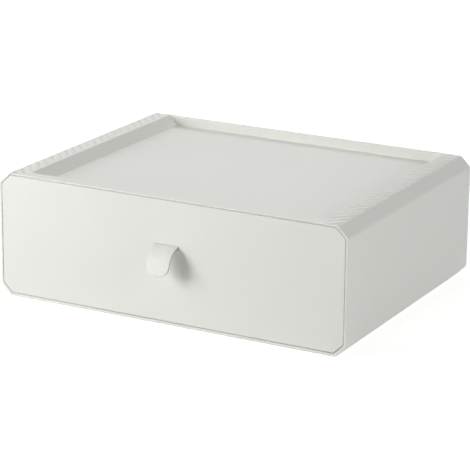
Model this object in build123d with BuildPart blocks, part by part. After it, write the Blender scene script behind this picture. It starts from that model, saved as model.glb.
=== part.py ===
from build123d import *
from math import atan2, cos, radians, sin, sqrt, tan
import os

os.makedirs("parts", exist_ok=True)

# A stackable drawer box for craft supplies: a moulded casing with a tray-shaped top and
# ribbed shoulders, and one drawer that is pulled out by a soft strap.
# Millimetres. The origin is the middle of the casing's underside, the drawer faces -Y.

# ---------------------------------------------------------------- overall size
width = 320.0
depth = 243.0
height = 106.5
bevel = 9.0             # the corners are cut at 45 degrees all along the depth
bevel_softening = 4.4   # radius on the long edges of the bevels
rear_rounding = 3.4     # radius on the edges of the back
front = -depth / 2
back = depth / 2

# ---------------------------------------------------------------- casing walls
side_wall = 1.9
floor_wall = 2.6
top_lip = 1.35          # thickness of the casing above the drawer front
roof_wall = 2.0         # under the tray on top, and behind the drawer
shoulder_roof = 2.6     # over the hollow shoulders, left thick enough for the ribs
lip_rounding = 0.5
opening_leg = 8.5       # 45 degree corner of the front opening
opening_softening = 2.6
chamber_depth = 8.1     # the front opening keeps its full height this far in
cavity_leg = 8.0        # 45 degree lower corner of the space behind it
cavity_softening = 1.0

# ---------------------------------------------------------------- tray on top of the casing
side_rim = 24.5
front_rim = 10.4
rear_rim = 4.8
recess_depth = 8.6
recess_slope = 8.6      # the sides lean outward by this much from the floor to the top
recess_corner = 4.0     # radius up the slanting corners
recess_floor_round = 0.8
recess_edge_round = 0.8

# ---------------------------------------------------------------- ribs on the shoulders
groove_pitch = 11.13    # along the depth
groove_angle = 50.0     # swept back and outward from the width direction
groove_radius = 2.9
groove_land = 2.4       # plain strip left beside the tray on top
groove_cut_inner = 0.45 # depth beside that strip
groove_cut_outer = 0.85 # depth where it runs out over the bevel
groove_front_margin = 1.0
groove_rear_margin = 4.6
first_groove = front + 5.9   # where the first groove's middle crosses the inner end of the ribs

# ---------------------------------------------------------------- underside and pads
bearing_frame = 24.0    # the box rests on this frame, the middle is raised
underside_raise = 0.6
pad_diameter = 12.0
pad_height = 1.2
pad_inset = 16.5
pad_clearance = 0.3
pad_edge_round = 0.3
frame_corner = 6.0

# ---------------------------------------------------------------- drawer
front_gap = 0.45        # visible gap round the drawer front
front_panel = 2.5
front_depth = 6.0       # the drawer front is a hollow plate, this is how deep it is
front_flange = 2.0
front_edge_round = 0.4
front_softening = 2.4
hollow_softening = 1.5
slide_gap = 0.8         # between the drawer and the sides of the casing
tray_wall = 1.8
tray_floor = 2.0
runner_height = 1.2
runner_width = 4.0
runner_clearance = 0.2
runner_spacing = 120.0
runner_margin = 6.0
rim_gap = 1.0           # over the drawer's side walls
rear_gap = 0.3
tray_inner_round = 3.0
tray_end_round = 2.8
tray_outer_round = 2.6
tray_rear_round = 2.4

# ---------------------------------------------------------------- stop that keeps the drawer in
stop_inner = width / 2 - 11.5
stop_lug_low = height - 7.5
stop_lug_setback = 12.0 # behind the front face
stop_lug_thick = 3.0
stop_tab_setback = 203.0
stop_tab_thick = 3.0
stop_tab_high = height - 4.5
stop_tab_clearance = 0.8
stop_tab_root = 9.0     # how far the tab runs down the drawer's side wall
stop_overlap = 0.5

# ---------------------------------------------------------------- pull strap
strap_width = 20.8
strap_thick = 1.3
strap_bend = 2.0        # centre-line radius where it turns behind the panel
strap_exit_height = 67.5
strap_exit_angle = 18.0
strap_reach = 5.5       # straight length measured out from the panel
strap_curl = 12.0       # centre-line radius of the hanging curve
strap_hang_angle = 71.0
strap_hang = 12.8
strap_tail = 16.0
strap_tip_round = 9.5
slot_side_gap = 0.6
slot_low_drop = 0.25
slot_high_gap = 0.15

# ---------------------------------------------------------------- fastenings
screw_x = 120.0
screw_low = 22.0
screw_high = 80.0
screw_shank = 3.0
screw_head = 6.0
screw_head_thick = 2.0
screw_head_round = 0.8
screw_reach = 4.3       # length held in the drawer front
screw_slack = 0.1
screw_passage = 3.4
boss_diameter = 7.0
peg_x = 5.2
peg_drop = 8.5          # below the middle of the strap's rear bend
peg_diameter = 4.4
peg_hole_gap = 0.3
keeper_thick = 1.4
keeper_width = 18.0
keeper_height = 11.0
keeper_corner = 2.0
strap_screw_shank = 2.2
strap_screw_head = 3.8
strap_screw_head_thick = 0.9
strap_screw_reach = 2.4
cross_length = 3.2      # cross recess of the screw heads
cross_width = 0.7
cross_depth = 0.5


def across(y):
    """The upright plane across the box at depth y, seen from the front."""
    return Plane.XZ.offset(-y)


def inset_leg(leg, side, base, skin):
    """45 degree leg of a corner after moving its side, base and bevel inward."""
    return leg + skin * sqrt(2) - side - base


def bevelled_face(y, half, low, high, low_leg, high_leg, softening):
    """Outline across the box with its four corners cut off at 45 degrees."""
    with BuildSketch(across(y)) as outline:
        with BuildLine():
            Polyline(
                (-half + low_leg, low),
                (half - low_leg, low),
                (half, low + low_leg),
                (half, high - high_leg),
                (half - high_leg, high),
                (-half + high_leg, high),
                (-half, high - high_leg),
                (-half, low + low_leg),
                close=True,
            )
        make_face()
        fillet(outline.vertices(), softening)
    return outline.sketch


def mirrored_face(y, points):
    """One closed outline on the right of the box and its mirror image on the left."""
    with BuildSketch(across(y)) as pair:
        with BuildLine():
            Polyline(*points, close=True)
        make_face()
        mirror(about=Plane.YZ)
    return pair.sketch


# ---------------------------------------------------------------- sizes that follow from these
cavity_half = width / 2 - side_wall
ceiling = height - recess_depth - roof_wall
shoulder_ceiling = height - shoulder_roof
recess_half = width / 2 - side_rim
recess_low = height - recess_depth
recess_floor_half = recess_half - recess_slope
slope_angle = atan2(recess_depth, recess_slope)
slope_inner = recess_floor_half + roof_wall / sin(slope_angle)
shoulder_inner = slope_inner + (shoulder_ceiling - recess_low) / tan(slope_angle)
slope_foot = slope_inner - roof_wall / tan(slope_angle)
chamber_high = height - top_lip
front_half = cavity_half - front_gap
front_low = floor_wall + front_gap
front_high = chamber_high - front_gap
front_leg = inset_leg(opening_leg, front_gap, front_gap, front_gap)
tray_half = cavity_half - slide_gap
runner_low = floor_wall + runner_clearance
tray_low = runner_low + runner_height
tray_high = ceiling - rim_gap
tray_front = front + front_depth
tray_back = back - roof_wall - rear_gap
outer_bevel_line = width / 2 + height - bevel
inner_bevel_line = outer_bevel_line - side_wall * sqrt(2)
tray_leg = inset_leg(cavity_leg, slide_gap, tray_low - floor_wall, slide_gap)
tray_space_leg = inset_leg(tray_leg, tray_wall, tray_floor, tray_wall)
tray_face_high = front_high - slide_gap
tray_face_leg = inset_leg(opening_leg, slide_gap, chamber_high - tray_face_high, slide_gap)
hollow_leg = inset_leg(front_leg, front_flange, front_flange, front_flange)
strap_middle = front + front_panel + strap_thick / 2
stop_lug_start = front + stop_lug_setback
stop_lug_end = stop_lug_start + stop_lug_thick
stop_tab_start = front + stop_tab_setback
recess_start = front + front_rim
recess_end = back - rear_rim

# where the strap turns behind the panel, worked back from its height on the front face
strap_slope = radians(strap_exit_angle)
bend_turn = 90 + strap_exit_angle
bend_rise = strap_bend * cos(strap_slope)
bend_setback = front_panel + strap_thick / 2 - strap_bend - strap_bend * sin(strap_slope)
surface_lift = strap_thick / 2 / cos(strap_slope)
bend_height = strap_exit_height - surface_lift - bend_rise + bend_setback * tan(strap_slope)
strap_straight = (strap_reach + bend_setback) / cos(strap_slope)

# the slot round it, and what holds its tail
slot_low = bend_height - slot_low_drop
slot_high = bend_height + strap_bend + strap_thick / 2 + slot_high_gap
slot_width = strap_width + 2 * slot_side_gap
peg_height = bend_height - peg_drop
strap_rear = front + front_panel + strap_thick
keeper_rear = strap_rear + keeper_thick
screw_places = [(x, z) for x in (-screw_x, screw_x) for z in (screw_low, screw_high)]
peg_places = [(-peg_x, peg_height), (peg_x, peg_height)]


# ================================================================ casing
ribbed_inner = recess_half + groove_land
ribbed_width = width / 2 - bevel - ribbed_inner
groove_slope = (groove_cut_outer - groove_cut_inner) / ribbed_width
groove_axis_height = height + groove_radius - groove_cut_inner
groove_count = int((back - groove_rear_margin - first_groove) / groove_pitch) + 1
groove_lead = int(side_rim * tan(radians(groove_angle)) / groove_pitch) + 1
groove_length = 4 * side_rim

with BuildPart() as right_grooves:
    groove_way = Vector(1, tan(radians(groove_angle)), -groove_slope)
    for number in range(-groove_lead, groove_count):
        groove_start = Vector(ribbed_inner, first_groove + number * groove_pitch, groove_axis_height)
        with BuildSketch(Plane(origin=groove_start, z_dir=groove_way)):
            Circle(groove_radius)
        extrude(amount=groove_length, both=True)
    ribbed_start = front + groove_front_margin
    ribbed_end = back - groove_rear_margin
    with BuildSketch(Plane.XY.offset(height - recess_depth)):
        with Locations(((ribbed_inner + width) / 2, (ribbed_start + ribbed_end) / 2)):
            Rectangle(width - ribbed_inner, ribbed_end - ribbed_start)
    extrude(amount=2 * recess_depth, mode=Mode.INTERSECT)

with BuildPart() as casing_shell:
    extrude(bevelled_face(front, width / 2, 0, height, bevel, bevel, bevel_softening), amount=-depth)
    rear_edges = casing_shell.faces().sort_by(Axis.Y)[-1].edges()
    fillet(rear_edges, rear_rounding)
    lip_edges = casing_shell.faces().sort_by(Axis.Y)[0].edges()
    fillet(lip_edges, lip_rounding)

    # front opening at its full height, then the lower space behind it
    opening = bevelled_face(
        front, cavity_half, floor_wall, chamber_high, opening_leg, opening_leg, opening_softening
    )
    extrude(opening, amount=-chamber_depth, mode=Mode.SUBTRACT)
    with BuildSketch(across(front + chamber_depth / 2)) as cavity:
        with BuildLine():
            Polyline(
                (0, floor_wall),
                (cavity_half - cavity_leg, floor_wall),
                (cavity_half, floor_wall + cavity_leg),
                (cavity_half, inner_bevel_line - cavity_half),
                (inner_bevel_line - shoulder_ceiling, shoulder_ceiling),
                (shoulder_inner, shoulder_ceiling),
                (slope_foot, ceiling),
                (0, ceiling),
                close=True,
            )
        make_face()
        mirror(about=Plane.YZ)
        fillet(cavity.vertices(), cavity_softening)
    extrude(amount=-(depth - chamber_depth / 2 - roof_wall), mode=Mode.SUBTRACT)

    # tray on top: the front and rear walls are upright, the side walls lean outward
    with BuildSketch(across(recess_start)):
        with BuildLine():
            Polyline(
                (-recess_floor_half, recess_low),
                (recess_floor_half, recess_low),
                (recess_half, height),
                (-recess_half, height),
                close=True,
            )
        make_face()
    extrude(amount=recess_start - recess_end, mode=Mode.SUBTRACT)
    recess_edges = (
        casing_shell.edges().filter_by_position(Axis.Y, recess_start, recess_end)
        .filter_by_position(Axis.Z, recess_low, height)
        .filter_by(lambda edge: abs(edge.center().X) < recess_half + 0.1)
    )
    fillet(recess_edges.filter_by(lambda edge: abs(edge.tangent_at(0.5).Z) > 0.5), recess_corner)
    fillet(casing_shell.edges().filter_by_position(Axis.Z, recess_low, recess_low), recess_floor_round)
    top_edges = casing_shell.edges().filter_by_position(Axis.Z, height, height)
    fillet(
        top_edges.filter_by(lambda edge: recess_start - 0.1 < edge.center().Y < recess_end + 0.1)
        .filter_by(lambda edge: abs(edge.center().X) < recess_half + 0.1),
        recess_edge_round,
    )

    # ribs on both shoulders
    add(right_grooves.part, mode=Mode.SUBTRACT)
    mirror(right_grooves.part, about=Plane.YZ, mode=Mode.SUBTRACT)

    # lugs that the drawer's stop tabs run against
    lug_line = inner_bevel_line + stop_overlap
    lug_high = shoulder_ceiling + stop_overlap
    lugs = mirrored_face(
        stop_lug_start,
        [
            (stop_inner, stop_lug_low),
            (lug_line - stop_lug_low, stop_lug_low),
            (lug_line - lug_high, lug_high),
            (stop_inner, lug_high),
        ],
    )
    extrude(lugs, amount=stop_lug_start - stop_lug_end)

    # underside: raised middle and four pockets for the pads
    with BuildSketch(Plane.XY):
        RectangleRounded(width - 2 * bearing_frame, depth - 2 * bearing_frame, frame_corner)
    extrude(amount=underside_raise, mode=Mode.SUBTRACT)
    with BuildSketch(Plane.XY):
        with GridLocations(width - 2 * pad_inset, depth - 2 * pad_inset, 2, 2):
            Circle(pad_diameter / 2 + pad_clearance)
    extrude(amount=pad_height, mode=Mode.SUBTRACT)


# ================================================================ foot pads
pad_places = {
    "foot_pad_front_left": (-width / 2 + pad_inset, front + pad_inset),
    "foot_pad_front_right": (width / 2 - pad_inset, front + pad_inset),
    "foot_pad_rear_left": (-width / 2 + pad_inset, back - pad_inset),
    "foot_pad_rear_right": (width / 2 - pad_inset, back - pad_inset),
}
foot_pads = {}
for pad_name, pad_place in pad_places.items():
    with BuildPart() as foot_pad:
        with BuildSketch(Plane.XY):
            with Locations(pad_place):
                Circle(pad_diameter / 2)
        extrude(amount=pad_height)
        fillet(foot_pad.faces().sort_by(Axis.Z)[0].edges(), pad_edge_round)
    foot_pads[pad_name] = foot_pad


# ================================================================ drawer tray
with BuildPart() as tray_space:
    space_outline = bevelled_face(
        tray_front + tray_wall,
        tray_half - tray_wall,
        tray_low + tray_floor,
        height + recess_depth,
        tray_space_leg,
        tray_space_leg,
        tray_inner_round,
    )
    extrude(space_outline, amount=tray_front + 2 * tray_wall - tray_back)
    fillet(tray_space.faces().sort_by(Axis.Y)[0].edges(), tray_end_round)
    fillet(tray_space.faces().sort_by(Axis.Y)[-1].edges(), tray_end_round)

with BuildPart() as drawer_tray:
    tray_outline = bevelled_face(
        tray_front, tray_half, tray_low, height, tray_leg, tray_leg, tray_outer_round
    )
    extrude(tray_outline, amount=tray_front - tray_back)
    fillet(drawer_tray.faces().sort_by(Axis.Y)[-1].edges(), tray_rear_round)
    add(tray_space.part, mode=Mode.SUBTRACT)
    split(bisect_by=Plane.XY.offset(tray_high), keep=Keep.BOTTOM)

    # the front wall is taller, it closes the hollow drawer front
    tray_face = bevelled_face(
        tray_front, tray_half, tray_low, tray_face_high, tray_leg, tray_face_leg, tray_outer_round
    )
    extrude(tray_face, amount=-tray_wall)

    # stop tabs near the rear
    tab_line = inner_bevel_line - stop_tab_clearance * sqrt(2)
    tabs = mirrored_face(
        stop_tab_start,
        [
            (tray_half - tray_wall / 2, tray_high - stop_tab_root),
            (tray_half, tray_high - stop_tab_root),
            (tray_half, tab_line - tray_half),
            (tab_line - stop_tab_high, stop_tab_high),
            (stop_inner, stop_tab_high),
            (stop_inner, tray_high),
        ],
    )
    extrude(tabs, amount=-stop_tab_thick)

    # runners under the floor
    runner_length = tray_back - tray_front - 2 * runner_margin
    with BuildSketch(Plane.XY.offset(runner_low)):
        with Locations((0, (tray_front + tray_back) / 2)):
            with GridLocations(runner_spacing, 0, 3, 1):
                SlotOverall(runner_length, runner_width, rotation=90)
    extrude(amount=runner_height + tray_floor / 2)

    # passages for the screws that hold the drawer front
    with BuildSketch(across(tray_front)):
        with Locations(*screw_places):
            Circle(screw_passage / 2)
    extrude(amount=-tray_wall, mode=Mode.SUBTRACT)


# ================================================================ drawer front
with BuildPart() as drawer_front:
    front_outline = bevelled_face(
        front, front_half, front_low, front_high, front_leg, front_leg, front_softening
    )
    extrude(front_outline, amount=-front_depth)
    fillet(drawer_front.faces().sort_by(Axis.Y)[0].edges(), front_edge_round)
    hollow = bevelled_face(
        front + front_panel,
        front_half - front_flange,
        front_low + front_flange,
        front_high - front_flange,
        hollow_leg,
        hollow_leg,
        hollow_softening,
    )
    extrude(hollow, amount=front_panel - front_depth, mode=Mode.SUBTRACT)

    # slot that the strap comes out of
    with BuildSketch(across(front)):
        with Locations((0, (slot_low + slot_high) / 2)):
            Rectangle(slot_width, slot_high - slot_low)
    extrude(amount=-front_panel, mode=Mode.SUBTRACT)

    # bosses for the front screws, pegs for the strap
    with BuildSketch(across(front + front_panel)):
        with Locations(*screw_places):
            Circle(boss_diameter / 2)
    extrude(amount=front_panel - front_depth)
    with BuildSketch(across(front + front_panel)):
        with Locations(*peg_places):
            Circle(peg_diameter / 2)
    extrude(amount=-strap_thick)

    # screw holes
    with BuildSketch(across(front + front_depth)):
        with Locations(*screw_places):
            Circle(screw_shank / 2 + screw_slack)
    extrude(amount=screw_reach + screw_slack, mode=Mode.SUBTRACT)
    with BuildSketch(across(strap_rear)):
        with Locations(*peg_places):
            Circle(strap_screw_shank / 2 + screw_slack)
    extrude(amount=strap_screw_reach + screw_slack, mode=Mode.SUBTRACT)


# ================================================================ front screws
with BuildPart(across(tray_front + tray_wall)) as front_screws:
    with Locations(*screw_places):
        Cylinder(screw_head / 2, screw_head_thick, align=(Align.CENTER, Align.CENTER, Align.MAX))
    fillet(front_screws.faces().filter_by(Axis.Y).sort_by(Axis.Y)[-4:].edges(), screw_head_round)
    with Locations(*screw_places):
        Cylinder(screw_shank / 2, tray_wall + screw_reach, align=(Align.CENTER, Align.CENTER, Align.MIN))
        with Locations((0, 0, -screw_head_thick)):
            Box(cross_width, cross_length, 2 * cross_depth, mode=Mode.SUBTRACT)
            Box(cross_length, cross_width, 2 * cross_depth, mode=Mode.SUBTRACT)


# ================================================================ pull strap
with BuildPart() as pull_strap:
    with BuildSketch(Plane.YZ):
        with BuildLine():
            tail = Line((strap_middle, bend_height - strap_tail), (strap_middle, bend_height))
            rear_bend = JernArc(tail @ 1, tail % 1, strap_bend, bend_turn)
            slope = PolarLine(rear_bend @ 1, strap_straight, direction=rear_bend % 1)
            curl = JernArc(slope @ 1, slope % 1, strap_curl, strap_hang_angle - strap_exit_angle)
            PolarLine(curl @ 1, strap_hang, direction=curl % 1)
        trace(line_width=strap_thick)
    extrude(amount=strap_width / 2, both=True)
    tip_corners = pull_strap.faces().sort_by(Axis.Z)[0].edges().filter_by(Axis.X, reverse=True)
    fillet(tip_corners, strap_tip_round)
    with BuildSketch(across(strap_rear)):
        with Locations(*peg_places):
            Circle(peg_diameter / 2 + peg_hole_gap)
    extrude(amount=strap_thick, mode=Mode.SUBTRACT)


# ================================================================ strap keeper and its screws
with BuildPart() as strap_keeper:
    with BuildSketch(across(keeper_rear)):
        with Locations((0, peg_height)):
            RectangleRounded(keeper_width, keeper_height, keeper_corner)
    extrude(amount=keeper_thick)
    with Locations(across(keeper_rear)):
        with Locations(*peg_places):
            Cone(
                strap_screw_head / 2 + screw_slack,
                strap_screw_shank / 2 + screw_slack,
                strap_screw_head_thick,
                align=(Align.CENTER, Align.CENTER, Align.MIN),
                mode=Mode.SUBTRACT,
            )
            Cylinder(
                strap_screw_shank / 2 + screw_slack,
                keeper_thick,
                align=(Align.CENTER, Align.CENTER, Align.MIN),
                mode=Mode.SUBTRACT,
            )

with BuildPart(across(keeper_rear)) as strap_screws:
    with Locations(*peg_places):
        Cone(
            strap_screw_head / 2,
            strap_screw_shank / 2,
            strap_screw_head_thick,
            align=(Align.CENTER, Align.CENTER, Align.MIN),
        )
        Cylinder(
            strap_screw_shank / 2,
            keeper_thick + strap_screw_reach,
            align=(Align.CENTER, Align.CENTER, Align.MIN),
        )
        Box(cross_width, strap_screw_head / 2, cross_depth, mode=Mode.SUBTRACT)
        Box(strap_screw_head / 2, cross_width, cross_depth, mode=Mode.SUBTRACT)


# ================================================================ files
pieces = {
    "casing_shell": casing_shell,
    **foot_pads,
    "drawer_tray": drawer_tray,
    "drawer_front": drawer_front,
    "front_screws": front_screws,
    "pull_strap": pull_strap,
    "strap_keeper": strap_keeper,
    "strap_screws": strap_screws,
}
for name, piece in pieces.items():
    piece.part.label = name
    export_step(piece.part, f"parts/{name}.step")
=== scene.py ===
# %% [markdown]
# A stackable drawer box, dressed for its portrait
# The rigid pieces come in as a finished frame: a moulded casing, a drawer, its front plate and
# the small fastenings. Blender's work is what the eye reads next: the grain and sheen of the
# moulded plastic, the soft strap, the studio floor and the light. Everything is in metres and
# stays where the frame says, so nothing here has to be fitted by hand.

import math

import bmesh
import bpy
from mathutils import Matrix, Vector


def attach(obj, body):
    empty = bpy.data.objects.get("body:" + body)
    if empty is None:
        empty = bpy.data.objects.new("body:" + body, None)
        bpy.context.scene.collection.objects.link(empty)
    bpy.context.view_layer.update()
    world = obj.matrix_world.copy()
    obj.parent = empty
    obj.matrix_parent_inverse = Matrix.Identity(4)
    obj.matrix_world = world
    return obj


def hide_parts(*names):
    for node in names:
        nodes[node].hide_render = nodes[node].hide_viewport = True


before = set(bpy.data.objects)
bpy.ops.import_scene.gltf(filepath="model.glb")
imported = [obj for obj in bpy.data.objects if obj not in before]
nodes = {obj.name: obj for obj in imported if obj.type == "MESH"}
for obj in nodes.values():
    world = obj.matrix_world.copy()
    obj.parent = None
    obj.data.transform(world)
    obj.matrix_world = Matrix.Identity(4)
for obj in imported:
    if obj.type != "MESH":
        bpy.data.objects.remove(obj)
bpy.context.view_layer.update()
print("nodes:", sorted(nodes))

# %% [markdown]
# The camera
# The photograph shows a long-lens product view: the verticals almost parallel, the box turned
# about 28 degrees and seen from 17 degrees above. A camera can be aimed with a Track To
# constraint, but then its roll is whatever the constraint gives. Here its three turning angles
# were worked out from the straight edges of the box, so they are set directly.

# %% Camera
MM = 0.001
IMAGE_SIDE = 470
FOCAL_PIXELS = 2211.5
SENSOR = 36.0
NEAREST, FARTHEST = 0.1, 40.0
camera_place = Vector((845.96, -1580.60, 593.90)) * MM
turn = math.radians(28.257)
tilt = math.radians(17.059)
roll = math.radians(0.540)

ahead = Vector((
    -math.sin(turn) * math.cos(tilt), math.cos(turn) * math.cos(tilt), -math.sin(tilt)
))
level_right = Vector((math.cos(turn), math.sin(turn), 0.0))
level_up = level_right.cross(ahead)
right = math.cos(roll) * level_right + math.sin(roll) * level_up
up = -math.sin(roll) * level_right + math.cos(roll) * level_up
facing = Matrix((right, up, -ahead)).transposed().to_4x4()

camera = bpy.data.objects.new("camera", bpy.data.cameras.new("camera"))
bpy.context.scene.collection.objects.link(camera)
camera.matrix_world = Matrix.Translation(camera_place) @ facing
camera.data.sensor_width = SENSOR
camera.data.lens = FOCAL_PIXELS * SENSOR / IMAGE_SIDE
camera.data.clip_start, camera.data.clip_end = NEAREST, FARTHEST
bpy.context.scene.camera = camera
print("lens", round(camera.data.lens, 1), "mm")

# %% [markdown]
# Nodes and wires
# A Blender material is a graph of nodes. Writing each node and wire in full makes long cells, so
# three helpers shorten it: one adds a node and fills its settings, one wires two sockets, and
# one starts an empty material. The first two serve the world's nodes as well, because a world
# owns a node tree just as a material does.

# %% Helpers: nodes and wires
def add_node(owner, kind, inputs=None, **settings):
    """A new node in a material or world, with some settings and input values filled in."""
    node = owner.node_tree.nodes.new(kind)
    for name, value in settings.items():
        setattr(node, name, value)
    for name, value in (inputs or {}).items():
        node.inputs[name].default_value = value
    return node


def wire(owner, source, target):
    """Connects an output socket to an input socket."""
    owner.node_tree.links.new(source, target)


def blank_material(name):
    """An empty material and its shader node, with the shader already wired to the output."""
    material = bpy.data.materials.new(name)
    material.use_nodes = True
    material.node_tree.nodes.clear()
    output = add_node(material, "ShaderNodeOutputMaterial")
    shader = add_node(material, "ShaderNodeBsdfPrincipled")
    wire(material, shader.outputs["BSDF"], output.inputs["Surface"])
    return material, shader

# %% [markdown]
# Patterns
# No real surface is one even colour. All the finishes here share the same few means: a noise
# pattern stretched between two values, two such values multiplied, a colour shaded by one of
# them, and a bump made from one. Noise is computed in the object's own space, so it needs no
# unwrapping and runs across a piece without a seam.

# %% Helpers: patterns
NOISE_LOW, NOISE_HIGH = 0.3, 0.7  # nearly all of a noise pattern's values lie between these
NOISE_ROUGHNESS = 0.55


def mottled(material, place, scale, low, high, detail=4.0):
    """A noise pattern whose value runs from low to high; the scale is in waves per metre."""
    noise = add_node(material, "ShaderNodeTexNoise", {
        "Scale": scale, "Detail": detail, "Roughness": NOISE_ROUGHNESS,
    })
    wire(material, place, noise.inputs["Vector"])
    spread = add_node(material, "ShaderNodeMapRange", {
        "From Min": NOISE_LOW, "From Max": NOISE_HIGH, "To Min": low, "To Max": high,
    })
    wire(material, noise.outputs["Fac"], spread.inputs["Value"])
    return spread.outputs["Result"]


def times(material, first, second):
    """Two changing values multiplied."""
    product = add_node(material, "ShaderNodeMath", operation="MULTIPLY")
    wire(material, first, product.inputs[0])
    wire(material, second, product.inputs[1])
    return product.outputs["Value"]


def shaded_colour(material, colour, factor):
    """A colour scaled by a changing factor."""
    tone = add_node(material, "ShaderNodeVectorMath", operation="SCALE")
    tone.inputs[0].default_value = colour
    wire(material, factor, tone.inputs["Scale"])
    return tone.outputs["Vector"]


def bumped(material, height, strength, distance, below=None):
    """A normal bumped by a height pattern, on top of the normal below it."""
    bump = add_node(material, "ShaderNodeBump", {"Strength": strength, "Distance": distance})
    wire(material, height, bump.inputs["Height"])
    if below is not None:
        wire(material, below, bump.inputs["Normal"])
    return bump.outputs["Normal"]

# %% [markdown]
# Where a surface turns a corner
# The edges of a moulding are a little rounded and are polished by hands, so they are glossier.
# They are also painted paler, a painted highlight where the rounded edges catch the light. They
# could be marked with vertex paint, but that has to be redone whenever a piece changes. The Bevel
# node finds them instead: it gives the normal averaged over about half a millimetre, and where
# that differs from the true normal, the surface turns a corner.

# %% Edges of a moulding
EDGE_REACH = 0.0006
EDGE_SAMPLES = 6
FLAT_MATCH = 0.99    # how well the two normals match on a flat face
CORNER_MATCH = 0.80  # and on a clear corner


def edge_share(material):
    """The normal with its edges rounded, and a share of 0 on faces rising to 1 on edges."""
    rounded = add_node(
        material, "ShaderNodeBevel", {"Radius": EDGE_REACH}, samples=EDGE_SAMPLES
    ).outputs["Normal"]
    true = add_node(material, "ShaderNodeNewGeometry").outputs["Normal"]
    match = add_node(material, "ShaderNodeVectorMath", operation="DOT_PRODUCT")
    wire(material, rounded, match.inputs[0])
    wire(material, true, match.inputs[1])
    edge = add_node(material, "ShaderNodeMapRange", {
        "From Min": FLAT_MATCH, "From Max": CORNER_MATCH, "To Min": 0.0, "To Max": 1.0,
    })
    wire(material, match.outputs["Value"], edge.inputs["Value"])
    return rounded, edge.outputs["Result"]


def by_edge(material, edge, value):
    """1 on faces, going to the value on edges."""
    spread = add_node(material, "ShaderNodeMapRange", {"To Min": 1.0, "To Max": value})
    wire(material, edge, spread.inputs["Value"])
    return spread.outputs["Result"]

# %% [markdown]
# Moulded plastic
# The box is off-white polypropylene, straight from a spark-eroded mould. Close up the skin has a
# very fine even grain, the gloss wanders a little where the melt met the steel, and the edges are
# smoother. The edges are also painted paler, a painted highlight on their rounding. A picture
# texture could hold all that, but noise patterns have no seams and stay sharp at any distance. A
# little light travels under the skin, so thin lips and narrow gaps never look black.

# %% Moulded plastic
DRIFT_SCALE = 9.0      # the colour's slow drift, in waves per metre
SINK_SCALE = 16.0      # the faint sink marks behind thick places
GLOSS_SCALE = 38.0     # the wandering gloss
SPECKLE_SCALE = 700.0  # the pigment's speckle
GRAIN_SCALE = 1500.0   # the grain of the mould
# The first value paints the edges paler, a painted highlight; the second makes them glossier.
EDGE_HIGHLIGHT_TONE, EDGE_POLISH = 1.06, 0.78
SINK_STRENGTH, SINK_DEPTH = 0.08, 0.0004
GRAIN_DEPTH = 0.0002
PLASTIC_IOR, PLASTIC_SPECULAR = 1.49, 0.35
MILKINESS, MILK_DEPTH = 0.18, 0.0014
MILK_COLOUR = (1.0, 0.95, 0.85)


def moulded_plastic(name, colour, gloss_low=0.45, gloss_high=0.49, grain=0.10):
    """A moulded plastic of one colour; its gloss values are the shader's roughness."""
    material, shader = blank_material(name)
    place = add_node(material, "ShaderNodeTexCoord").outputs["Object"]
    rounded, edge = edge_share(material)

    drift = mottled(material, place, DRIFT_SCALE, low=0.985, high=1.01)
    speckle = mottled(material, place, SPECKLE_SCALE, low=0.992, high=1.006)
    # The drift and speckle are the plastic's own tone; the paler edges are a painted highlight.
    tone = times(material, times(material, drift, speckle), by_edge(material, edge, EDGE_HIGHLIGHT_TONE))
    wire(material, shaded_colour(material, colour, tone), shader.inputs["Base Color"])

    gloss = mottled(material, place, GLOSS_SCALE, gloss_low, gloss_high)
    polish = by_edge(material, edge, EDGE_POLISH)
    wire(material, times(material, gloss, polish), shader.inputs["Roughness"])

    slow = mottled(material, place, SINK_SCALE, low=0.0, high=1.0, detail=1.0)
    sink = bumped(material, slow, SINK_STRENGTH, SINK_DEPTH, below=rounded)
    fine = mottled(material, place, GRAIN_SCALE, low=0.0, high=1.0, detail=2.0)
    skin = bumped(material, fine, grain, GRAIN_DEPTH, below=sink)
    wire(material, skin, shader.inputs["Normal"])

    shader.inputs["IOR"].default_value = PLASTIC_IOR
    shader.inputs["Specular IOR Level"].default_value = PLASTIC_SPECULAR
    shader.inputs["Subsurface Weight"].default_value = MILKINESS
    shader.inputs["Subsurface Radius"].default_value = MILK_COLOUR
    shader.inputs["Subsurface Scale"].default_value = MILK_DEPTH
    return material

# %% [markdown]
# The box's four plastics
# All four come from the same recipe. The casing and the drawer front share a colour, the drawer
# inside is a shade darker and glossier, as its mould is smoother, and the hidden keeper is grey
# reground plastic. One function with a few settings keeps them a family, where four materials
# made by hand would drift apart.

# %% The four plastics
OFF_WHITE = (0.800, 0.808, 0.762)
DRAWER_WHITE = (0.780, 0.788, 0.742)
KEEPER_GREY = (0.46, 0.46, 0.45)
casing_plastic = moulded_plastic("casing_plastic", OFF_WHITE)
front_plastic = moulded_plastic("front_plastic", OFF_WHITE, gloss_low=0.46, gloss_high=0.50)
drawer_plastic = moulded_plastic(
    "drawer_plastic", DRAWER_WHITE, gloss_low=0.39, gloss_high=0.43, grain=0.06
)
keeper_plastic = moulded_plastic("keeper_plastic", KEEPER_GREY, gloss_low=0.3, gloss_high=0.42)
print("plastics:", [material.name for material in bpy.data.materials])

# %% [markdown]
# Pad rubber and screw steel
# The pads under the box are soft grey rubber, dull and slightly dusty. The screws are zinc
# plated: a metal whose brightness breaks up into small crystals. Both are the shader's own metal
# or dielectric with a pattern on top, which is enough for pieces of this size.

# %% Pad rubber
RUBBER_GREY = (0.22, 0.22, 0.215)
DUST_SCALE, DULLNESS_SCALE, RUBBER_SKIN_SCALE = 260.0, 120.0, 900.0
RUBBER_SKIN_STRENGTH, RUBBER_SKIN_DEPTH = 0.3, 0.0002


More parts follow.
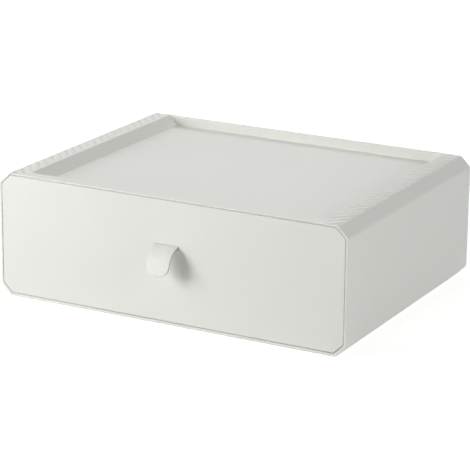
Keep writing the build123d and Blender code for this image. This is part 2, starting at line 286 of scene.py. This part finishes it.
def pad_rubber_material():
    """Dull grey rubber with a little dust and a pimpled skin."""
    material, shader = blank_material("pad_rubber")
    place = add_node(material, "ShaderNodeTexCoord").outputs["Object"]
    dust = mottled(material, place, DUST_SCALE, low=0.85, high=1.2)
    wire(material, shaded_colour(material, RUBBER_GREY, dust), shader.inputs["Base Color"])
    dullness = mottled(material, place, DULLNESS_SCALE, low=0.7, high=0.9)
    wire(material, dullness, shader.inputs["Roughness"])
    pimples = mottled(material, place, RUBBER_SKIN_SCALE, low=0.0, high=1.0)
    skin = bumped(material, pimples, RUBBER_SKIN_STRENGTH, RUBBER_SKIN_DEPTH)
    wire(material, skin, shader.inputs["Normal"])
    return material


pad_rubber = pad_rubber_material()
print("made", pad_rubber.name)

# %% Screw zinc
ZINC_GREY = (0.56, 0.57, 0.58)
CRYSTAL_SCALE, ZINC_GLOSS_SCALE = 1600.0, 500.0
CRYSTAL_DARK, CRYSTAL_BRIGHT = 0.85, 1.12


def screw_zinc_material():
    """Zinc plating whose brightness changes from crystal to crystal."""
    material, shader = blank_material("screw_zinc")
    shader.inputs["Metallic"].default_value = 1.0
    place = add_node(material, "ShaderNodeTexCoord").outputs["Object"]
    crystals = add_node(material, "ShaderNodeTexVoronoi", {"Scale": CRYSTAL_SCALE})
    wire(material, place, crystals.inputs["Vector"])
    spread = add_node(material, "ShaderNodeMapRange", {
        "To Min": CRYSTAL_DARK, "To Max": CRYSTAL_BRIGHT,
    })
    wire(material, crystals.outputs["Distance"], spread.inputs["Value"])
    colour = shaded_colour(material, ZINC_GREY, spread.outputs["Result"])
    wire(material, colour, shader.inputs["Base Color"])
    gloss = mottled(material, place, ZINC_GLOSS_SCALE, low=0.24, high=0.42)
    wire(material, gloss, shader.inputs["Roughness"])
    return material


screw_zinc = screw_zinc_material()
print("made", screw_zinc.name)

# %% [markdown]
# Dressing the frame's pieces
# The rigid pieces already have their true shapes, so they only change material. The list pairs
# each piece with the finish it has on the real box. Clicking through the pieces would do it too,
# but a list of names stops the script when a name is missing.

# %% Dress the rigid pieces
finishes = {
    "casing_shell": casing_plastic,
    "drawer_tray": drawer_plastic,
    "drawer_front": front_plastic,
    "front_screws": screw_zinc,
    "strap_keeper": keeper_plastic,
    "strap_screws": screw_zinc,
}
for name in nodes:
    if name.startswith("foot_pad"):
        finishes[name] = pad_rubber
for name, material in finishes.items():
    mesh = nodes[name].data
    mesh.materials.clear()
    mesh.materials.append(material)
print("dressed", len(finishes), "pieces")

# %% [markdown]
# The pull strap: the line it follows
# One flat tongue of imitation leather comes out of a slot in the drawer front, leans out and
# hangs over in a soft curl. A curve object could draw its side view, but straight runs joined by
# round bends are easier to measure. They are the same ones that the rigid stand-in has: up
# behind the plate, over the slot, out, and down.

# %% Strap: its measures, in millimetres
front_face = -121.5
panel = 2.5
thick = 1.3
half_width = 10.4
rear_bend = 2.0
exit_angle = math.radians(18.0)
hang_angle = math.radians(71.0)
exit_height = 67.5
reach = 5.5
curl = 12.0
hang = 12.8
tail = 16.0

tail_depth = front_face + panel + thick / 2
setback = panel + thick / 2 - rear_bend - rear_bend * math.sin(exit_angle)
bend_height = (
    exit_height - thick / 2 / math.cos(exit_angle) - rear_bend * math.cos(exit_angle)
    + setback * math.tan(exit_angle)
)
straight = (reach + setback) / math.cos(exit_angle)
print("the strap bends over at a height of", round(bend_height, 1), "mm")

# %% Strap: the line it follows
line_step = 0.5
runs = [
    ("line", tail),
    ("turn", rear_bend, math.pi / 2 + exit_angle),
    ("line", straight),
    ("turn", curl, hang_angle - exit_angle),
    ("line", hang),
]


def strap_line():
    """Points and headings along the strap, as (distance, y, z, heading), in millimetres."""
    y, z, heading, travelled = tail_depth, bend_height - tail, math.pi / 2, 0.0
    stations = [(travelled, y, z, heading)]
    for run in runs:
        length = run[1] if run[0] == "line" else run[1] * run[2]
        pieces = max(2, round(length / line_step))
        bend = 0.0 if run[0] == "line" else run[2] / pieces
        chord = length / pieces
        for _ in range(pieces):
            heading += bend / 2
            y += chord * math.cos(heading)
            z += chord * math.sin(heading)
            heading += bend / 2
            travelled += chord
            stations.append((travelled, y, z, heading))
    return stations


stations = strap_line()
strap_length = stations[-1][0]
print("strap", round(strap_length, 1), "mm long, tip at", [round(v, 1) for v in stations[-1][1:3]])

# %% [markdown]
# The pull strap: its cross-sections
# The real strap's cut edge is rounded, its tip is round, and its show face is slightly crowned.
# A plane with a Solidify modifier would have the right thickness, but its cut edge would stay
# sharp and square. A run of cross-sections gives all three in one go. Each one is a rounded
# rectangle, and towards the tip it gets narrower and, at the very end, thinner.

# %% Strap: one cross-section
tip_round = 9.5
edge_round = 0.28
corner_steps = 5
face_steps = 6


def quarter_round(left, radius):
    """How far a quarter circle has opened at a distance left from its end."""
    return math.sqrt(max(0.0, radius**2 - (radius - left) ** 2))


def width_at(left):
    """Half the strap's width, drawn in at the rounded tip."""
    if left >= tip_round:
        return half_width
    return half_width - tip_round + quarter_round(left, tip_round)


def depth_at(left):
    """Half the strap's thickness, rounded off at its very end."""
    if left >= edge_round:
        return thick / 2
    return thick / 2 - edge_round + quarter_round(left, edge_round)


def section(half, depth):
    """A rounded rectangle, as (across, through) points; small ones get smaller corners."""
    radius = min(edge_round, depth * 0.9, half * 0.5)
    points = []
    for corner, (sx, sz) in enumerate(((1, 1), (-1, 1), (-1, -1), (1, -1))):
        for step in range(corner_steps + 1):
            angle = math.pi / 2 * (corner + step / corner_steps)
            points.append((
                sx * (half - radius) + radius * math.cos(angle),
                sz * (depth - radius) + radius * math.sin(angle),
            ))
        if corner in (0, 2):
            for step in range(1, face_steps):
                share = step / face_steps
                points.append((sx * (half - radius) * (1 - 2 * share), sz * depth))
    return points


print("points in a cross-section:", len(section(half_width, thick / 2)))

# %% Strap: the crown of its show face
crown_rise = 0.10
crown_start = 4.0  # the crown begins this far past the tail,
crown_run = 8.0    # is full after this run,
crown_end = 2.0    # and is half as high over this last bit


def crown_at(distance, left, across, through):
    """How far the show face rises towards the middle of its width."""
    if through >= 0:
        return 0.0
    rise = crown_rise * (1 - (across / half_width) ** 2)
    grown = min(1.0, max(0.0, (distance - tail - crown_start) / crown_run))
    return rise * grown * (0.5 if left < crown_end else 1.0)


print("the show face rises by up to", crown_rise, "mm")

# %% [markdown]
# The pull strap: from sections to a mesh
# A ring of points goes round the strap at every stop along its line. Neighbouring rings are
# joined by four-sided faces and the two ends are closed. Blender has no loft tool, and sweeping
# a profile along a curve can't change its width and thickness separately, so the rings are
# written out. The stops stand closer together at the tip, where the outline turns fastest.

# %% Strap: its stops
tip_steps = 14
_, end_y, end_z, end_heading = stations[-1]
stops = [stop for stop in stations if stop[0] < strap_length - tip_round]
for step in range(tip_steps + 1):
    distance = strap_length - tip_round * math.cos(math.pi / 2 * step / tip_steps)
    back = strap_length - distance
    stops.append((
        distance,
        end_y - back * math.cos(end_heading), end_z - back * math.sin(end_heading), end_heading,
    ))
print(len(stops), "stops along the strap")

# %% Strap: its mesh
loft = bmesh.new()
rings = []
for distance, y, z, heading in stops:
    left = strap_length - distance
    across_y, across_z = -math.sin(heading), math.cos(heading)
    ring = []
    for across, through in section(width_at(left), depth_at(left)):
        lift = through - crown_at(distance, left, across, through)
        ring.append(loft.verts.new((
            across * MM, (y + across_y * lift) * MM, (z + across_z * lift) * MM
        )))
    rings.append(ring)
for first, second in zip(rings, rings[1:]):
    count = len(first)
    for k in range(count):
        loft.faces.new((first[k], first[(k + 1) % count], second[(k + 1) % count], second[k]))
loft.faces.new(list(reversed(rings[0])))
loft.faces.new(rings[-1])
bmesh.ops.recalc_face_normals(loft, faces=loft.faces)
for face in loft.faces:
    face.smooth = True
strap_mesh = bpy.data.meshes.new("strap_soft")
loft.to_mesh(strap_mesh)
loft.free()
strap = bpy.data.objects.new("strap_soft", strap_mesh)
bpy.context.scene.collection.objects.link(strap)
print("strap mesh", len(strap_mesh.vertices), "vertices")

# %% [markdown]
# The pull strap: its punched holes
# Behind the drawer front the tail sits on two pegs of the keeper, so it has two punched holes.
# They could be built into the mesh, but that means a new layout of faces round each. A Boolean
# modifier with two short rods cuts them in one step, and its result is kept as the strap's mesh.

# %% Strap: the rods that punch the holes
peg_across = 5.2
peg_drop = 8.5
hole_radius = 2.5
hole_sides = 40
rod_length = 4 * thick
rods = bmesh.new()
for side in (-1, 1):
    spot = Vector((side * peg_across, tail_depth, bend_height - peg_drop)) * MM
    bmesh.ops.create_cone(
        rods, cap_ends=True, segments=hole_sides,
        radius1=hole_radius * MM, radius2=hole_radius * MM, depth=rod_length * MM,
        matrix=Matrix.Translation(spot) @ Matrix.Rotation(math.pi / 2, 4, "X"),
    )
cutter_mesh = bpy.data.meshes.new("hole_cutter")
rods.to_mesh(cutter_mesh)
rods.free()
cutter = bpy.data.objects.new("hole_cutter", cutter_mesh)
bpy.context.scene.collection.objects.link(cutter)
print("two rods,", 2 * hole_radius, "mm across")

# %% Strap: punch the holes
punch = strap.modifiers.new("punch", "BOOLEAN")
punch.object = cutter
punch.operation = "DIFFERENCE"
punch.solver = "EXACT"
bpy.context.view_layer.update()
depsgraph = bpy.context.evaluated_depsgraph_get()
punched = bpy.data.meshes.new_from_object(strap.evaluated_get(depsgraph))
strap.modifiers.clear()
strap.data = punched
bpy.data.objects.remove(cutter)
print("punched strap", len(punched.vertices), "vertices")

# %% [markdown]
# The pull strap: its cut edge
# Along the strap's two long sides the cut edge is painted darker: painted shade on the edges that
# face sideways. A second material on those faces would change with a hard line. The normal's
# sideways part finds the edge instead: only there does the surface face sideways, so the painted
# shade darkens smoothly round the corner.

# %% Strap: its cut edge
# How dark the painted shade on the strap's cut edge is.
CUT_EDGE_SHADE = 0.5
EDGE_BEGINS, EDGE_FULL = 0.45, 0.8  # the normal's sideways part


# Painted shade: the strap's sideways-facing cut edges are darkened in colour.
def painted_edge_shade(material):
    """1 on the strap's faces, falling to CUT_EDGE_SHADE where the surface looks sideways."""
    normal = add_node(material, "ShaderNodeTexCoord").outputs["Normal"]
    split = add_node(material, "ShaderNodeSeparateXYZ")
    wire(material, normal, split.inputs["Vector"])
    sideways = add_node(material, "ShaderNodeMath", operation="ABSOLUTE")
    wire(material, split.outputs["X"], sideways.inputs[0])
    fade = add_node(material, "ShaderNodeMapRange", {
        "From Min": EDGE_BEGINS, "From Max": EDGE_FULL, "To Min": 1.0, "To Max": CUT_EDGE_SHADE,
    })
    wire(material, sideways.outputs[0], fade.inputs["Value"])
    return fade.outputs["Result"]

# %% [markdown]
# Imitation leather
# The strap is the same off-white as the box, but softer: pores about half a millimetre apart,
# fine creases that run across it, and a dull sheen that brightens at a low angle. Plain noise
# would look like the plastic's grain. A Voronoi pattern has the cells that pores need, noise
# pulls them out of line, and a little sheen on the shader does the rest.

# %% Strap: pores and creases
PORE_SCALE, PORE_STRENGTH, PORE_DEPTH = 1900.0, 0.35, 0.00012
WANDER_SCALE, WANDER_SHARE = 420.0, 0.0012
CREASE_SCALE, CREASE_STRENGTH, CREASE_DEPTH = 700.0, 0.3, 0.0002
CREASE_STRETCH = (0.25, 1.0, 1.0)  # four times as long across the strap as along it


def leather_grain(material, place):
    """The normal of a skin with pores, and creases on top of them."""
    wander = add_node(material, "ShaderNodeTexNoise", {"Scale": WANDER_SCALE, "Detail": 2.0})
    wire(material, place, wander.inputs["Vector"])
    pulled = add_node(
        material, "ShaderNodeMixRGB", {"Fac": WANDER_SHARE}, blend_type="LINEAR_LIGHT"
    )
    wire(material, place, pulled.inputs["Color1"])
    wire(material, wander.outputs["Color"], pulled.inputs["Color2"])
    pores = add_node(
        material, "ShaderNodeTexVoronoi", {"Scale": PORE_SCALE}, feature="SMOOTH_F1"
    )
    wire(material, pulled.outputs["Color"], pores.inputs["Vector"])

    stretch = add_node(material, "ShaderNodeMapping", {"Scale": CREASE_STRETCH})
    wire(material, place, stretch.inputs["Vector"])
    folds = add_node(material, "ShaderNodeTexNoise", {"Scale": CREASE_SCALE, "Detail": 3.0})
    wire(material, stretch.outputs["Vector"], folds.inputs["Vector"])

    pored = bumped(material, pores.outputs["Distance"], PORE_STRENGTH, PORE_DEPTH)
    return bumped(material, folds.outputs["Fac"], CREASE_STRENGTH, CREASE_DEPTH, below=pored)

# %% Strap: its finish
STRAP_WHITE = (0.800, 0.803, 0.765)
STRAP_TONE_SCALE, STRAP_GLOSS_SCALE = 300.0, 240.0
STRAP_SHEEN, STRAP_SHEEN_ROUGHNESS = 0.15, 0.5


def strap_material():
    """Off-white imitation leather with painted shade on its cut edge."""
    material, shader = blank_material("strap_leatherette")
    place = add_node(material, "ShaderNodeTexCoord").outputs["Object"]
    mottle = mottled(material, place, STRAP_TONE_SCALE, low=0.975, high=1.02)
    # The mottle is the leather's own tone; the darker cut edge is painted shade.
    tone = times(material, mottle, painted_edge_shade(material))
    wire(material, shaded_colour(material, STRAP_WHITE, tone), shader.inputs["Base Color"])
    gloss = mottled(material, place, STRAP_GLOSS_SCALE, low=0.48, high=0.62)
    wire(material, gloss, shader.inputs["Roughness"])
    wire(material, leather_grain(material, place), shader.inputs["Normal"])
    shader.inputs["Sheen Weight"].default_value = STRAP_SHEEN
    shader.inputs["Sheen Roughness"].default_value = STRAP_SHEEN_ROUGHNESS
    return material


strap.data.materials.clear()
strap.data.materials.append(strap_material())
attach(strap, "drawer")
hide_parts("pull_strap")
print("strap finish:", strap.data.materials[0].name)

# %% [markdown]
# What looks at the backdrop
# The photograph's background is pure white. Walls and a floor as bright as that would burn out
# the box as well. Blender can tell what kind of ray arrives at a surface, so the backdrop can be
# white to the camera, and to the rays that mirror in or pass through shiny pieces, and still
# light the box as a plain room would.

# %% Rays that look at the backdrop
def seen_rays(owner):
    """1 for the rays that look at the backdrop, straight or by way of a shiny piece, else 0."""
    path = add_node(owner, "ShaderNodeLightPath")
    seen = path.outputs["Is Camera Ray"]
    for kind in ("Is Glossy Ray", "Is Transmission Ray"):
        either = add_node(owner, "ShaderNodeMath", operation="MAXIMUM")
        wire(owner, seen, either.inputs[0])
        wire(owner, path.outputs[kind], either.inputs[1])
        seen = either.outputs[0]
    return seen

# %% [markdown]
# Floor
# The box stands on a white sweep. A bent sheet would be the studio's way, but a large flat disc
# is enough when its far part is lifted to white. So a little glow is added for the rays that
# look at it, on top of a real diffuse floor that still takes the shadow and still throws light
# back up at the sides. Far from the lamps the floor would turn grey and show a horizon, so the
# glow grows to full white with the distance from the box.

# %% Floor: its material
WHITE = (1.0, 1.0, 1.0, 1.0)
FLOOR_WHITE = (0.86, 0.86, 0.86, 1.0)
NEAR_GLOW, FAR_GLOW = 0.62, 1.0
GLOW_GROWS, GLOW_FULL = 0.6, 2.5  # metres from the box


def floor_material():
    """A matt white floor, with a glow only for the rays that look at it."""
    material = bpy.data.materials.new("studio_floor")
    material.use_nodes = True
    material.node_tree.nodes.clear()
    output = add_node(material, "ShaderNodeOutputMaterial")
    matt = add_node(material, "ShaderNodeBsdfDiffuse", {"Color": FLOOR_WHITE})
    place = add_node(material, "ShaderNodeTexCoord").outputs["Object"]
    distance = add_node(material, "ShaderNodeVectorMath", operation="LENGTH")
    wire(material, place, distance.inputs[0])
    lift = add_node(material, "ShaderNodeMapRange", {
        "From Min": GLOW_GROWS, "From Max": GLOW_FULL, "To Min": NEAR_GLOW, "To Max": FAR_GLOW,
    })
    wire(material, distance.outputs["Value"], lift.inputs["Value"])
    glow = add_node(material, "ShaderNodeEmission", {"Color": WHITE})
    wire(material, lift.outputs["Result"], glow.inputs["Strength"])
    both = add_node(material, "ShaderNodeAddShader")
    wire(material, matt.outputs["BSDF"], both.inputs[0])
    wire(material, glow.outputs["Emission"], both.inputs[1])
    choose = add_node(material, "ShaderNodeMixShader")
    wire(material, seen_rays(material), choose.inputs["Fac"])
    wire(material, matt.outputs["BSDF"], choose.inputs[1])
    wire(material, both.outputs["Shader"], choose.inputs[2])
    wire(material, choose.outputs["Shader"], output.inputs["Surface"])
    return material

# %% Floor: its disc
FLOOR_RADIUS = 9.0
FLOOR_SIDES = 96
disc = bmesh.new()
bmesh.ops.create_circle(disc, cap_ends=True, segments=FLOOR_SIDES, radius=FLOOR_RADIUS)
floor_mesh = bpy.data.meshes.new("studio_floor")
disc.to_mesh(floor_mesh)
disc.free()
floor = bpy.data.objects.new("studio_floor", floor_mesh)
bpy.context.scene.collection.objects.link(floor)
floor_mesh.materials.append(floor_material())
print("floor", 2 * FLOOR_RADIUS, "m across")

# %% [markdown]
# The room
# The room round the box is white walls under a dark ceiling, so its light comes in level and
# fills the upright faces. A picture of a studio would do this too, but a plain ramp from the
# horizon upward is enough and is set by two numbers. The rays that look at the backdrop see
# plain white instead.

# %% World
WALLS = 0.13
WALL_TOP = 0.6  # the height, as the upward part of a direction, at which the walls end
world = bpy.data.worlds.new("studio")
bpy.context.scene.world = world
world.use_nodes = True
world.node_tree.nodes.clear()
world_output = add_node(world, "ShaderNodeOutputWorld")
toward = add_node(world, "ShaderNodeTexCoord").outputs["Generated"]
upward = add_node(world, "ShaderNodeSeparateXYZ")
wire(world, toward, upward.inputs["Vector"])
walls = add_node(world, "ShaderNodeMapRange", {
    "From Max": WALL_TOP, "To Min": WALLS, "To Max": 0.0,
})
wire(world, upward.outputs["Z"], walls.inputs["Value"])
room = add_node(world, "ShaderNodeBackground", {"Color": WHITE})
wire(world, walls.outputs["Result"], room.inputs["Strength"])
backdrop = add_node(world, "ShaderNodeBackground", {"Color": WHITE, "Strength": 1.0})
mix = add_node(world, "ShaderNodeMixShader")
wire(world, seen_rays(world), mix.inputs["Fac"])
wire(world, room.outputs["Background"], mix.inputs[1])
wire(world, backdrop.outputs["Background"], mix.inputs[2])
wire(world, mix.outputs["Shader"], world_output.inputs["Surface"])
print("walls give", WALLS, "at the horizon and fade out at", WALL_TOP)

# %% [markdown]
# Lamps
# The picture's one clear direction is from the front left and low: it brightens the left of the
# drawer front and puts the strap's soft shadow to its lower right. Sun lamps would be simpler,
# but they don't fall off with distance as a lamp near the box does. A lamp overhead evens out
# the tray. A high lamp behind the left corner shines across the right-hand ribs and softens the
# left-hand ones, and a wide one far to the right keeps the shaded side readable.

# %% Lamps
AIM = Vector((0.0, 0.0, 0.05))  # the middle of the box


def softbox(name, place, side, power):
    """A square area lamp, its side in metres and its power in watts, facing the box."""
    lamp = bpy.data.lights.new(name, "AREA")
    lamp.shape = "SQUARE"
    lamp.size = side
    lamp.energy = power
    holder = bpy.data.objects.new(name, lamp)
    holder.location = place
    holder.rotation_mode = "QUATERNION"
    holder.rotation_quaternion = (AIM - Vector(place)).to_track_quat("-Z", "Y")
    bpy.context.scene.collection.objects.link(holder)
    print(name, power, "W")


softbox("key_lamp", (-1.15, -1.24, 0.60), 0.9, 24.5)
softbox("top_lamp", (0.0, 0.0, 2.0), 1.2, 4.5)
softbox("rear_lamp", (-0.7, 1.3, 1.3), 0.9, 11.0)
softbox("right_fill", (3.2, -0.5, 1.3), 1.6, 49.0)

# %% [markdown]
# Finish
# The Standard view keeps the numbers of the materials as they were written.

# %% Finish
bpy.context.scene.view_settings.view_transform = "Standard"
